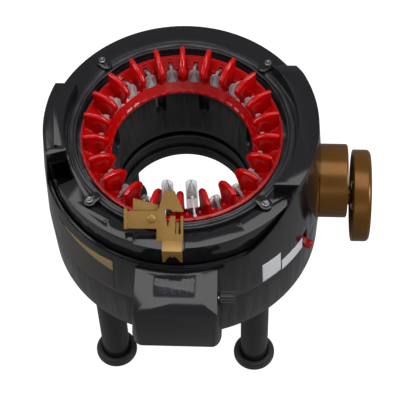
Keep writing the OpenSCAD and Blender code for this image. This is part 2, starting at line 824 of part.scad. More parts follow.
module mode_lever() {
    grip_r = lever_h / 2;
    grip_l = 8;
    plate_w = 14;
    plate_t = 2;
    plate_r = bay_r - 3;
    finger_l = 14;
    mid_z = lever_low_z + lever_h / 2;
    color("#c8102e") at_az(lever_az) translate([0, 0, mid_z]) {
        translate([plate_r, -lever_w / 2, -lever_h / 2]) cube([part_r + 1 - plate_r, lever_w, lever_h]);
        translate([part_r + 1, 0, 0]) rotate([0, 90, 0]) cylinder(r = grip_r, h = grip_l);
        translate([part_r + 1 + grip_l, 0, 0]) sphere(r = grip_r, $fn = 48);
        translate([plate_r - plate_t, -plate_w / 2, -lever_h]) cube([plate_t, plate_w, 2 * lever_h]);
        translate([plate_r - finger_l, -lever_w / 2, -2]) cube([finger_l, lever_w, 4]);
    }
}

// ---- yarn guide ----

module stand_up() {
    translate([0, guide_y, guide_z]) rotate([90 - guide_lean, 0, 0]) children();
}

module guide_base() {
    lip_h = 6;
    color("#1b1c1f") intersection() {
        union() {
            translate([base_x0, -body_r - 5, deck_z - base_t])
                cube([base_x1 - base_x0, body_r + 5 + base_in_y, base_t]);
            difference() {
                translate([base_x0, -body_r, deck_z - lip_h])
                    cube([base_x1 - base_x0, body_r + base_in_y, lip_h]);
                translate([0, 0, deck_z - lip_h - past]) cylinder(r = deck_r + fit_gap, h = lip_h + 2 * past);
            }
        }
        cylinder(r = deck_r + 2, h = crest_z);
    }
}

// The small forked tongue that hangs over the deck's edge, and the strip that carries it
module guide_fork() {
    fork_y = -(deck_r + 2.3);
    fork_t = 1.8;
    fork_top = deck_z + 1.8;
    fork_x0 = -11;
    fork_x1 = 6;
    strip_w = guide_y - fork_y + fork_t + 1.5;
    translate([0, fork_y, 0]) rotate([90, 0, 0]) linear_extrude(height = fork_t)
        polygon([[fork_x0, fork_top], [fork_x0, fork_top - 18], [-9, fork_top - 18], [-6.5, fork_top - 11],
            [-4, fork_top - 8], [-2.5, fork_top - 11], [-1, fork_top - 8], [1.5, fork_top - 11],
            [4, fork_top - 18], [fork_x1, fork_top - 18], [fork_x1, fork_top]]);
    translate([fork_x0, fork_y - fork_t, deck_z + fit_gap])
        cube([fork_x1 - fork_x0, strip_w, fork_top - deck_z - fit_gap]);
}

module guide_plate() {
    hole_at = [-6, 27];
    hole_r = 3.2;
    color("#c0a16a") union() {
        guide_fork();
        difference() {
            union() {
                stand_up() translate([0, 0, -guide_t]) linear_extrude(height = guide_t) difference() {
                    polygon([[-16, 0.5], [5, 0.5], [6.5, 2], [6.5, 29], [5.5, 30.5], [-1, 45.5], [-10, 45.5],
                        [-14, 30.5], [-15.5, 28], [-41, 27.3], [-41, 12.5], [-16, 12.5]]);
                    translate(hole_at) circle(r = hole_r);
                    translate([hole_at[0], hole_at[1] - hole_r]) square([13, 4.2]);
                    polygon([[-9, 26], [-4, 26], [-6.2, 15], [-7, 15]]);
                    translate([-0.2, 8]) square([4.6, 17]);
                }
                stand_up() translate([-43.4, 12.5, -guide_t]) cube([2.6, 17.5, guide_t + 2.2]);
                stand_up() translate([0.4, 7, -guide_t - 1.2]) cube([2.2, 11, 2.6]);
            }
            stand_up() translate([arm_pivot[0], arm_pivot[1], -10]) cylinder(r = 1.6, h = 20);
            translate([-60, guide_y - 20, 0]) cube([100, 60, deck_z + fit_gap]);
        }
    }
}

module guide_arm() {
    arm_t = 1.6;
    gap = 0.3;
    color("#c9ab74") stand_up() translate([0, 0, -guide_t - gap - arm_t]) difference() {
        linear_extrude(height = arm_t)
            polygon([[-36, 16], [-36, 38], [-14.5, 32.5], [-14.5, 16]]);
        translate([arm_pivot[0], arm_pivot[1], -past]) cylinder(r = 1.5 + run_gap, h = arm_t + 2 * past);
    }
}

module guide_rivet() {
    head_r = 3.8;
    color("#b9985c") stand_up() translate([arm_pivot[0], arm_pivot[1], 0]) {
        intersection() {
            translate([0, 0, -4]) sphere(r = 5.6, $fn = 48);
            cylinder(r = head_r, h = 5);
        }
        translate([0, 0, -guide_t - 2.6]) cylinder(r = 1.5, h = guide_t + 2.7);
        translate([0, 0, -guide_t - 3.6]) cylinder(r = 2.8, h = 1);
    }
}

// ---- row counter ----

module on_slope() {
    translate([0, counter_y, counter_top_z]) rotate([counter_slope, 0, 0]) children();
}

// The case's outer form, or its hollow when it is shrunk by the wall
module counter_block(shrink) {
    top_half = counter_w / 2 - shrink;
    low_half = top_half + counter_draft;
    corner = 9 - shrink;
    low_round = 8 - shrink;
    back_y = -body_r + 30;
    front_y = counter_front_y + shrink;
    corner_at = [low_half - low_round, counter_bottom_z + shrink + low_round];
    intersection() {
        rotate([90, 0, 90]) translate([0, 0, -counter_w]) linear_extrude(height = 2 * counter_w)
            polygon([[back_y, counter_bottom_z + shrink], [front_y - 1.5, counter_bottom_z + shrink],
                [front_y, counter_top_z - counter_drop - shrink], [counter_y, counter_top_z - shrink],
                [back_y, counter_top_z - shrink]]);
        translate([0, back_y, 0]) rotate([90, 0, 0]) linear_extrude(height = 2 * body_r)
            polygon(concat(
                [[-top_half, counter_top_z], [top_half, counter_top_z]],
                [for (k = [0:6]) corner_at + low_round * [cos(-15 * k), sin(-15 * k)]],
                [for (k = [0:6])
                    [-corner_at[0], corner_at[1]] + low_round * [cos(-90 - 15 * k), sin(-90 - 15 * k)]]));
        linear_extrude(height = crest_z) union() {
            translate([-low_half - past, front_y + corner - 1.5]) square([2 * (low_half + past), body_r]);
            translate([-low_half + corner, front_y - 1.5]) square([2 * (low_half - corner), body_r]);
            for (side = [-1, 1])
                translate([side * (low_half - corner), front_y + corner - 1.5]) circle(r = corner);
        }
    }
}

// The window's opening or its pane: its outline drawn in by a margin, from a height on the slope
module window_block(margin, from, h) {
    on_slope() translate([window_shift - window_w / 2 + margin, -window_mid - window_l / 2 + margin, from])
        cube([window_w - 2 * margin, window_l - 2 * margin, h]);
}

module counter_case() {
    rebate = 2;
    color("#1d1e21") difference() {
        union() {
            difference() {
                counter_block(0);
                counter_block(counter_wall);
            }
            translate([0, lever_pivot_y, counter_bottom_z + 1]) cylinder(r = lever_pin_r, h = 43);
        }
        body_fill(fit_gap);
        window_block(0, -pane_t - window_inset, 10);
        window_block(rebate, -10, 20);
        translate([0, wheel_y, wheel_z]) rotate([0, 90, 0])
            cylinder(r = counter_shaft_r + run_gap, h = counter_w);
    }
}

module counter_window() {
    color([0.3, 0.32, 0.35, 0.6]) window_block(fit_gap, -pane_t - window_inset, pane_t);
}

module counter_shaft() {
    start_x = -counter_w / 2 + counter_wall + 1.5;
    color("silver") translate([start_x, wheel_y, wheel_z]) rotate([0, 90, 0])
        cylinder(r = counter_shaft_r, h = reset_x + reset_w - 3 - start_x);
}

module number_wheel(i) {
    first_x = 9.5;
    color("#f2f2ef") translate([first_x - i * wheel_pitch - wheel_w / 2, wheel_y, wheel_z]) rotate([0, 90, 0])
        difference() {
            cylinder(r = wheel_r, h = wheel_w);
            translate([0, 0, -past]) cylinder(r = counter_shaft_r + run_gap, h = wheel_w + 2 * past);
        }
}

module reset_knob() {
    rib_r = 0.7;
    color("#2b2c2f") difference() {
        translate([reset_x, wheel_y, wheel_z]) rotate([0, 90, 0]) union() {
            cylinder(r = reset_r - rib_r, h = reset_w);
            for (k = [0:reset_ribs - 1]) rotate([0, 0, k * 360 / reset_ribs]) translate([reset_r - rib_r, 0, 0])
                cylinder(r = rib_r, h = reset_w, $fn = 16);
        }
        translate([reset_x - past, wheel_y, wheel_z]) rotate([0, 90, 0])
            cylinder(r = counter_shaft_r, h = reset_w - 3 + past);
    }
}

module counter_lever() {
    hub_r = 5;
    arm_w = 6;
    arm_t = 4;
    tip_y = -(gear_mid_r + gear_face / 2 + 3.5);
    color("#d8d4c8") translate([0, lever_pivot_y, counter_lever_z]) difference() {
        union() {
            cylinder(r = hub_r, h = arm_t);
            translate([-arm_w / 2, 0, 0]) cube([arm_w, tip_y - lever_pivot_y, arm_t]);
            translate([-arm_w / 2, -12, 0]) cube([arm_w, 12, arm_t]);
        }
        translate([0, 0, -past]) cylinder(r = lever_pin_r + run_gap, h = arm_t + 2 * past);
    }
}

// ---- legs ----

module legs() {
    color("#17181b") leg_places() {
        translate([0, 0, leg_seat_z]) cylinder(r = leg_r, h = base_z - leg_seat_z);
        translate([0, 0, base_z - past]) cylinder(r = leg_plug_r, h = leg_plug_h - past + past / 2);
    }
}

module rubber_feet() {
    lip = 3;
    color("#0c0c0d") leg_places() rotate_extrude() polygon([
        [0, 0], [foot_r - 2, 0], [foot_r, 2], [foot_r, foot_h - lip], [foot_r - lip, foot_h],
        [leg_r + fit_gap, foot_h], [leg_r + fit_gap, leg_seat_z - 0.05], [0, leg_seat_z - 0.05]]);
}

lower_housing();
base_plate();
inner_ring();
upper_housing();
top_cover();
retaining_ring();
retaining_clips();
screws();
cam_ring();
needle_cylinder();
crown_gear();
fin_ring();
crank_bearing();
crank_collar();
crank_shaft();
pinion();
crank_hub();
crank_pin();
crank_disc();
crank_screw();
mode_lever();
guide_base();
guide_plate();
guide_arm();
guide_rivet();
counter_case();
counter_window();
counter_shaft();
counter_lever();
reset_knob();
for (i = [0:wheel_count - 1]) number_wheel(i);
legs();
rubber_feet();
for (i = raised) latch(i);
for (i = [0:needle_count - 1]) needle(i);
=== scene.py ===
"""Looks for a hand-cranked circular knitting machine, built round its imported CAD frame.
Makers take millimetres; each finished mesh is brought to metres once."""
import json
import math

import bmesh
import bpy
from mathutils import Matrix, Vector, geometry

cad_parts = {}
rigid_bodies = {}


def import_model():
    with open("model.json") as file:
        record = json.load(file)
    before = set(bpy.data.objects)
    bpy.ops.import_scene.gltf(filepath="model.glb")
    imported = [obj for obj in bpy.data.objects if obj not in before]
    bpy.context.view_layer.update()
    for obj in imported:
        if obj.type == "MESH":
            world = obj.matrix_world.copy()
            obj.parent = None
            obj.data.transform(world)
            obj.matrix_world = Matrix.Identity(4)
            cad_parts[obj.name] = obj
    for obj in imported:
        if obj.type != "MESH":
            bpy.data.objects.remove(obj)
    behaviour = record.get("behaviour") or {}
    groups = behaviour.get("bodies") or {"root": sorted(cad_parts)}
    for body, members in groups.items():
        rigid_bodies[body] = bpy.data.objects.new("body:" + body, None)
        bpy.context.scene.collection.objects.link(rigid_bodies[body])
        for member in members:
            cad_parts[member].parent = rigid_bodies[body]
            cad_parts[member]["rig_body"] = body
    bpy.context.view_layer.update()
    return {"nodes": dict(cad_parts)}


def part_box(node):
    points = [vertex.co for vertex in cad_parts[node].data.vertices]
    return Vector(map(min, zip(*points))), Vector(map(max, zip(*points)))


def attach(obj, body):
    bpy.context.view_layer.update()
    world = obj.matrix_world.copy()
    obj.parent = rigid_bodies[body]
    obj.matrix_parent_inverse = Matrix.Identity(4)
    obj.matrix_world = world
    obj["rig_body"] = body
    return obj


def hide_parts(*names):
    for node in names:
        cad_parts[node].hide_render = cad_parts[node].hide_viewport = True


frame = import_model()
scene = bpy.context.scene

MM = 0.001
NEEDLES = 22
RAISED = (10, 11)  # needles, counted from 0, that stand raised at rest
PITCH = 2 * math.pi / NEEDLES
FIRST_FIN = math.radians(91.68)
FIN_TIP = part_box("fin_ring")[1].z / MM
NEEDLE_R = 70.0
PART_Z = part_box("lower_housing")[1].z / MM  # the housing's parting line
PART_R, LOWER_H, RIM_H = 127.3, 57, 60  # its radius there, and the wall's height below and above it
RAISED_TOP, LOW_TOP = FIN_TIP + 17, FIN_TIP - 16  # needle tops


def polar(r, angle):
    return Vector((r * math.cos(angle), r * math.sin(angle)))


# ---- camera and light ----

def place_camera():
    tilt, roll, turn = 1.0016903, 0.0401597, math.radians(4.117)
    right = Vector((1, 0, 0))
    up = Vector((0, math.sin(tilt), math.cos(tilt)))
    ahead = Vector((0, math.cos(tilt), -math.sin(tilt)))
    spot = 13.99982 * right - 67.44709 * up - 1318.19112 * ahead
    across = math.cos(roll) * right - math.sin(roll) * up
    upward = math.sin(roll) * right + math.cos(roll) * up
    basis = Matrix((across, upward, -ahead)).transposed().to_4x4()
    place = Matrix.Translation((0, 0, FIN_TIP * MM)) @ Matrix.Rotation(turn, 4, "Z")
    camera = bpy.data.objects.new("camera", bpy.data.cameras.new("camera"))
    camera.data.sensor_width = 36
    camera.data.lens = 135
    camera.data.clip_end = 20
    camera.matrix_world = place @ Matrix.Translation(spot * MM) @ basis
    scene.collection.objects.link(camera)
    scene.camera = camera


def soft_box(name, spot, aim, size, power):
    lamp = bpy.data.lights.new(name, "AREA")
    lamp.shape = "RECTANGLE"
    lamp.size, lamp.size_y = size
    lamp.energy = power
    holder = bpy.data.objects.new(name, lamp)
    holder.location = spot
    holder.rotation_mode = "QUATERNION"
    holder.rotation_quaternion = (Vector(aim) - Vector(spot)).to_track_quat("-Z", "Y")
    scene.collection.objects.link(holder)


def light_studio():
    world = bpy.data.worlds.new("studio")
    scene.world = world
    world.use_nodes = True
    sky = world.node_tree.nodes["Background"]
    sky.inputs["Color"].default_value = (0.94, 0.95, 1.0, 1)
    sky.inputs["Strength"].default_value = 0.32
    soft_box("overhead", (0.05, 0.15, 1.5), (0, 0, 0.2), (1.3, 0.9), 9)
    soft_box("right_window", (1.15, -0.35, 0.95), (0.1, 0, 0.2), (0.5, 0.7), 9)
    soft_box("left_window", (-1.2, -0.3, 0.7), (0, 0, 0.15), (0.5, 0.9), 6)
    soft_box("front_fill", (0.1, -1.5, 0.9), (0, 0, 0.15), (1.0, 0.5), 1.2)


def lay_floor(surface):
    """A pale ground that glows for the camera, and hardly at all for what stands on it."""
    half = 3.0
    corners = [(-half, -half, 0), (half, -half, 0), (half, half, 0), (-half, half, 0)]
    mesh = bpy.data.meshes.new("floor")
    mesh.from_pydata(corners, [], [(0, 1, 2, 3)])
    floor = bpy.data.objects.new("floor", mesh)
    scene.collection.objects.link(floor)
    mesh.materials.append(surface)
    tree = surface.node_tree
    path = tree.nodes.new("ShaderNodeLightPath")
    seen, unseen = 0.95, 0.02
    glow = tree.nodes.new("ShaderNodeMath")
    glow.operation = "MULTIPLY_ADD"
    glow.inputs[1].default_value, glow.inputs[2].default_value = seen, unseen
    tree.links.new(path.outputs["Is Camera Ray"], glow.inputs[0])
    tree.links.new(glow.outputs[0], shader_of(surface).inputs["Emission Strength"])


# ---- finishes ----

def shader_of(material):
    return next(node for node in material.node_tree.nodes if node.type == "BSDF_PRINCIPLED")


def group_tree(name, inputs, outputs):
    tree = bpy.data.node_groups.new(name, "ShaderNodeTree")
    for label, value in inputs:
        socket = tree.interface.new_socket(label, in_out="INPUT", socket_type="NodeSocketFloat")
        socket.default_value = value
    for label, kind in outputs:
        tree.interface.new_socket(label, in_out="OUTPUT", socket_type=kind)
    return tree, tree.nodes.new("NodeGroupInput"), tree.nodes.new("NodeGroupOutput")


def add_noise(tree, coords, scale, detail=3.0, stretch=None):
    noise = tree.nodes.new("ShaderNodeTexNoise")
    noise.inputs["Detail"].default_value = detail
    if isinstance(scale, (int, float)):
        noise.inputs["Scale"].default_value = scale
    else:
        tree.links.new(scale, noise.inputs["Scale"])
    if stretch:
        mapping = tree.nodes.new("ShaderNodeMapping")
        mapping.inputs["Scale"].default_value = stretch
        tree.links.new(coords, mapping.inputs["Vector"])
        coords = mapping.outputs["Vector"]
    tree.links.new(coords, noise.inputs["Vector"])
    return noise.outputs["Fac"]


def add_math(tree, kind, a, b):
    node = tree.nodes.new("ShaderNodeMath")
    node.operation = kind
    for socket, value in zip(node.inputs, (a, b)):
        if isinstance(value, (int, float)):
            socket.default_value = value
        else:
            tree.links.new(value, socket)
    return node.outputs[0]


def remap(tree, value, low, high, out_low, out_high):
    node = tree.nodes.new("ShaderNodeMapRange")
    for label, number in (("From Min", low), ("From Max", high), ("To Min", out_low), ("To Max", out_high)):
        if isinstance(number, (int, float)):
            node.inputs[label].default_value = number
        else:
            tree.links.new(number, node.inputs[label])
    tree.links.new(value, node.inputs["Value"])
    return node.outputs["Result"]


def handled_surface():
    """Moulded skin with faint handling marks: a varying roughness, a tone mask and a fine height."""
    tree, given, out = group_tree("handled_surface", [
        ("Roughness", 0.25), ("Marks", 0.08), ("Skin Scale", 900), ("Cloud Scale", 30)], [
        ("Roughness", "NodeSocketFloat"), ("Tone", "NodeSocketFloat"), ("Height", "NodeSocketFloat")])
    coords = tree.nodes.new("ShaderNodeTexCoord").outputs["Object"]
    clouds = add_noise(tree, coords, given.outputs["Cloud Scale"], 4)
    hairline = add_noise(tree, coords, 260, 2, (1, 9, 1))
    streaks = remap(tree, hairline, 0.56, 0.75, 0, 1)
    marks = add_math(tree, "ADD", add_math(tree, "SUBTRACT", clouds, 0.5),
                     add_math(tree, "MULTIPLY", streaks, 0.35))
    swing = add_math(tree, "MULTIPLY", marks, given.outputs["Marks"])
    rough = add_math(tree, "ADD", given.outputs["Roughness"], swing)
    skin = add_noise(tree, coords, given.outputs["Skin Scale"], 2)
    tree.links.new(rough, out.inputs["Roughness"])
    tree.links.new(clouds, out.inputs["Tone"])
    tree.links.new(skin, out.inputs["Height"])
    return tree


HANDLED = handled_surface()


def finish(name, colour, second, rough, marks=0.08, metal=0.0, bump=0.02, skin=900, cloud=30, edge=0.0,
           **sockets):
    """A moulded or metal finish: two tones mixed by cloudy noise, handled roughness and a fine bump."""
    material = bpy.data.materials.new(name)
    material.use_nodes = True
    tree = material.node_tree
    shader = shader_of(material)
    handled = tree.nodes.new("ShaderNodeGroup")
    handled.node_tree = HANDLED
    for label, value in (("Roughness", rough), ("Marks", marks), ("Skin Scale", skin), ("Cloud Scale", cloud)):
        handled.inputs[label].default_value = value
    mix = tree.nodes.new("ShaderNodeMix")
    mix.data_type = "RGBA"
    mix.inputs["A"].default_value = (*colour, 1)
    mix.inputs["B"].default_value = (*second, 1)
    tree.links.new(remap(tree, handled.outputs["Tone"], 0.3, 0.7, 0, 1), mix.inputs["Factor"])
    tree.links.new(mix.outputs["Result"], shader.inputs["Base Color"])
    tree.links.new(handled.outputs["Roughness"], shader.inputs["Roughness"])
    relief = tree.nodes.new("ShaderNodeBump")
    relief.inputs["Strength"].default_value = bump
    relief.inputs["Distance"].default_value = 0.0006
    tree.links.new(handled.outputs["Height"], relief.inputs["Height"])
    if edge:
        soften = tree.nodes.new("ShaderNodeBevel")
        soften.samples = 6
        soften.inputs["Radius"].default_value = edge
        tree.links.new(soften.outputs["Normal"], relief.inputs["Normal"])
    tree.links.new(relief.outputs["Normal"], shader.inputs["Normal"])
    shader.inputs["Metallic"].default_value = metal
    for label, value in sockets.items():
        shader.inputs[label.replace("_", " ")].default_value = value
    return material


def add_grain(material, scale, stretch, amount):
    """Fine parallel lines that the moulding tool left, added to a finish's bump."""
    tree = material.node_tree
    relief = next(n for n in tree.nodes if n.type == "BUMP")
    coords = tree.nodes.new("ShaderNodeTexCoord").outputs["Object"]
    lines = add_noise(tree, coords, scale, 2, stretch)
    old = relief.inputs["Height"].links[0].from_socket
    grain = add_math(tree, "MULTIPLY", lines, amount)
    tree.links.new(add_math(tree, "ADD", old, grain), relief.inputs["Height"])
    return material


def veil(material, facing, grazing):
    """Makes a material see-through, more so where it faces the eye than at its outline."""
    tree = material.node_tree
    weight = tree.nodes.new("ShaderNodeLayerWeight")
    weight.inputs["Blend"].default_value = 0.35
    cover = remap(tree, weight.outputs["Facing"], 0.05, 0.65, facing, grazing)
    tree.links.new(cover, shader_of(material).inputs["Alpha"])
    return material


shell_black = finish("shell_black", (0.0055, 0.0052, 0.0064), (0.0075, 0.0070, 0.0085), 0.13, 0.05,
                     bump=0.008, skin=600, cloud=18, edge=0.0004, Specular_IOR_Level=0.5)
inner_black = finish("inner_black", (0.012, 0.012, 0.013), (0.018, 0.017, 0.018), 0.30, 0.12,
                     bump=0.05, skin=700, edge=0.0003)
ring_black = finish("ring_black", (0.012, 0.012, 0.014), (0.016, 0.016, 0.019), 0.22, 0.10,
                    bump=0.03, edge=0.0003)
fin_red = finish("fin_red", (0.52, 0.0008, 0.0015), (0.46, 0.0006, 0.0012), 0.16, 0.06,
                 bump=0.025, skin=350, edge=0.0004,
                 Subsurface_Weight=0.12, Subsurface_Scale=0.004, Specular_IOR_Level=0.45)
lever_red = finish("lever_red", (0.38, 0.004, 0.012), (0.33, 0.003, 0.010), 0.28, bump=0.03, edge=0.0004)
needle_white = finish("needle_white", (0.90, 0.91, 0.91), (0.84, 0.86, 0.87), 0.22,
                      Transmission_Weight=0.45, IOR=1.46, Subsurface_Weight=0.2, Subsurface_Scale=0.003)
needle_clear = veil(finish("needle_clear", (0.62, 0.63, 0.63), (0.56, 0.57, 0.57), 0.12, 0.06,
                           Specular_IOR_Level=0.35), 0.16, 0.75)
gear_nylon = finish("gear_nylon", (0.72, 0.71, 0.67), (0.66, 0.65, 0.60), 0.45, 0.1, bump=0.04)
crank_bronze = finish("crank_bronze", (0.170, 0.072, 0.010), (0.140, 0.058, 0.008), 0.25, 0.08, 0.45,
                      bump=0.012, skin=1500, edge=0.0004, Specular_IOR_Level=0.3)
guide_gold = add_grain(finish("guide_gold", (0.36, 0.205, 0.050), (0.30, 0.165, 0.038), 0.36, 0.1, 0.30,
                              bump=0.05, edge=0.00025), 300, (0.4, 14, 14), 1.2)
turned_steel = add_grain(finish("turned_steel", (0.62, 0.62, 0.64), (0.54, 0.54, 0.56), 0.24, 0.12, 1.0,
                                bump=0.06), 500, (1, 1, 12), 0.8)
screw_steel = add_grain(finish("screw_steel", (0.20, 0.20, 0.21), (0.16, 0.16, 0.17), 0.20, 0.12, 1.0,
                               bump=0.06), 500, (1, 1, 12), 0.8)
bush_nylon = finish("bush_nylon", (0.75, 0.73, 0.68), (0.70, 0.68, 0.62), 0.5, 0.1)
foot_rubber = finish("foot_rubber", (0.012, 0.012, 0.012), (0.02, 0.02, 0.021), 0.55, 0.2,
                     bump=0.25, skin=1400)
window_pane = finish("window_pane", (0.20, 0.21, 0.23), (0.16, 0.17, 0.19), 0.06, 0.05, bump=0.005,
                     Transmission_Weight=0.9, IOR=1.45)
digit_white = finish("digit_white", (0.85, 0.86, 0.86), (0.78, 0.79, 0.80), 0.45, 0.1)
plate_dark = finish("plate_dark", (0.018, 0.014, 0.010), (0.024, 0.018, 0.013), 0.22, 0.1, bump=0.01)
plate_gold = finish("plate_gold", (0.48, 0.33, 0.13), (0.42, 0.28, 0.10), 0.32, 0.1, 0.6)
label_white = finish("label_white", (0.75, 0.76, 0.78), (0.70, 0.71, 0.73), 0.35, 0.12, bump=0.03)
floor_pale = finish("floor_pale", (0.22, 0.22, 0.225), (0.21, 0.21, 0.215), 0.6, 0.05,
                    bump=0.01, skin=60, cloud=2, Emission_Color=(1, 1, 1, 1))


# ---- makers ----

def rounded(points, steps=5):
    """A closed outline whose corners (x, y, radius) are turned into arcs."""
    path = []
    count = len(points)
    for k, corner in enumerate(points):
        here = Vector(corner[:2])
        radius = corner[2] if len(corner) > 2 else 0
        before = Vector(points[k - 1][:2]) - here
        after = Vector(points[(k + 1) % count][:2]) - here
        if radius <= 0:
            path.append(here)
            continue
        opening = before.angle(after)
        reach = min(radius / math.tan(opening / 2), 0.49 * before.length, 0.49 * after.length)
        real = reach * math.tan(opening / 2)
        middle = here + (before.normalized() + after.normalized()).normalized() * real / math.sin(opening / 2)
        start = here + before.normalized() * reach - middle
        end = here + after.normalized() * reach - middle
        sweep = start.angle_signed(end)
        for s in range(steps + 1):
            path.append(middle + Matrix.Rotation(-sweep * s / steps, 2) @ start)
    return path


def mesh_object(name, bm, material):
    mesh = bpy.data.meshes.new(name)
    bm.to_mesh(mesh)
    bm.free()
    piece = bpy.data.objects.new(name, mesh)
    scene.collection.objects.link(piece)
    mesh.materials.append(material)
    return piece


def shade(piece, angle=32):
    """Smooth shading, with edges sharper than the angle kept crisp."""
    mesh = piece.data
    mesh.shade_smooth()
    mesh.set_sharp_from_angle(angle=math.radians(angle))
    return piece


def settle(piece, body, slot, *nodes):
    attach(piece, body)
    if nodes:
        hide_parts(*nodes)
    return piece


def lathe_mesh(bm, outline, turns=128, place=Matrix.Identity(4)):
    """Revolves a closed (r, z) outline about Z. Points on the axis become one vertex."""
    rings = []
    for point in outline:
        if point[0] < 1e-6:
            rings.append([bm.verts.new(place @ Vector((0, 0, point[1] * MM)))] * turns)
            continue
        ring = []
        for k in range(turns):
            spot = polar(point[0], 2 * math.pi * k / turns)
            ring.append(bm.verts.new(place @ Vector((spot.x * MM, spot.y * MM, point[1] * MM))))
        rings.append(ring)
    for k, ring in enumerate(rings):
        following = rings[(k + 1) % len(rings)]
        for j in range(turns):
            i = (j + 1) % turns
            corners = [ring[j], ring[i], following[i], following[j]]
            unique = [v for n, v in enumerate(corners) if v not in corners[:n]]
            if len(unique) > 2:
                bm.faces.new(unique)


def lathe(name, outline, material, turns=128, place=Matrix.Identity(4)):
    bm = bmesh.new()
    lathe_mesh(bm, outline, turns, place)
    bmesh.ops.recalc_face_normals(bm, faces=bm.faces)
    return shade(mesh_object(name, bm, material))


def along_x(x, y, z):
    """A lathe's own Z laid along +X from a point."""
    return Matrix.Translation((x * MM, y * MM, z * MM)) @ Matrix.Rotation(math.pi / 2, 4, "Y")


def oval_grip(bm):
    """Draws the mode lever's grip in to a short oval dome."""
    foot_r, middle_z = PART_R + 1, PART_Z + 2
    shorter, taller = 0.55, 1.3
    for v in bm.verts:
        out = v.co.xy.length / MM - foot_r
        if out > 0.05:
            v.co.xy *= (foot_r + out * shorter) / (foot_r + out)
            v.co.z = (middle_z + (v.co.z / MM - middle_z) * taller) * MM


def node_mesh(node, shape=None):
    """A CAD node's mesh with the edges inside its flat faces dissolved."""
    bm = bmesh.new()
    bm.from_mesh(frame["nodes"][node].data)
    bmesh.ops.remove_doubles(bm, verts=bm.verts, dist=2e-6)
    if shape:
        shape(bm)
    bmesh.ops.dissolve_limit(bm, angle_limit=math.radians(0.6), verts=bm.verts, edges=bm.edges)
    return bm


def round_edges(piece, width, segments):
    bevel = piece.modifiers.new("edges", "BEVEL")
    bevel.width = width * MM
    bevel.segments = segments
    bevel.use_clamp_overlap = True
    return bevel


def softened(node, material, width, slot, segments=3, shape=None):
    """A CAD node's form with real rounded edges, standing for that node."""
    bm = node_mesh(node, shape)
    weight = bm.edges.layers.float.new("bevel_weight_edge")
    for edge in bm.edges:
        if len(edge.link_faces) == 2 and edge.calc_face_angle(0) > math.radians(30):
            edge[weight] = 1.0
    piece = mesh_object(node + "_form", bm, material)
    bevel = round_edges(piece, width, segments)
    bevel.limit_method = "WEIGHT"
    bevel.miter_outer = "MITER_ARC"
    bake(piece)
    return settle(shade(piece, 30), frame["nodes"][node]["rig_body"], slot, node)


def bake(piece):
    """Turns a piece's modifiers into plain mesh."""
    scene.view_layers[0].update()
    seen = piece.evaluated_get(bpy.context.evaluated_depsgraph_get())
    mesh = bpy.data.meshes.new_from_object(seen)
    piece.modifiers.clear()
    old = piece.data
    piece.data = mesh
    bpy.data.meshes.remove(old)


def dress(node, material):
    """A CAD node that shows as it is gets its finish."""
    mesh = frame["nodes"][node].data
    mesh.materials.clear()
    mesh.materials.append(material)


# ---- red crown of fins ----

RIM_Z, LIP_Z, BAND_Z = FIN_TIP - 17, FIN_TIP - 30.4, FIN_TIP - 40
BAND_R, LIP_R, SLOPE_R, FLOOR_R = NEEDLE_R - 6.5, NEEDLE_R - 0.7, NEEDLE_R + 17, NEEDLE_R + 20


def profile_height(points, r):
    """Height on a polyline of (r, z) at a radius."""
    for (r0, z0), (r1, z1) in zip(points, points[1:]):
        if r <= r1:
            return z0 + (z1 - z0) * max(r - r0, 0) / (r1 - r0)
    return points[-1][1]


def crown_top(r):
    """The crown's skin between the fins: a band and a lip at its inner edge, the cone, a bead at its rim."""
    line = [(BAND_R, BAND_Z), (BAND_R + 0.15, BAND_Z + 1.9), (BAND_R + 1.0, BAND_Z + 2.3),
            (LIP_R - 0.4, LIP_Z - 1.0), (LIP_R + 0.1, LIP_Z - 0.2),
            (SLOPE_R - 1.5, RIM_Z - 1.2), (SLOPE_R, RIM_Z - 0.3), (FLOOR_R, RIM_Z)]
    bead_r, bead_w, bead_h = 87.3, 0.9, 0.8
    return profile_height(line, r) + bead_h * math.exp(-((r - bead_r) / bead_w) ** 2)


def crown_under(r):
    return profile_height([(BAND_R, BAND_Z - 0.1), (BAND_R + 3.3, BAND_Z - 0.1), (NEEDLE_R + 0.3, LIP_Z - 3.6),
                           (SLOPE_R, RIM_Z - 3.9), (FLOOR_R, RIM_Z - 3.9)], r)


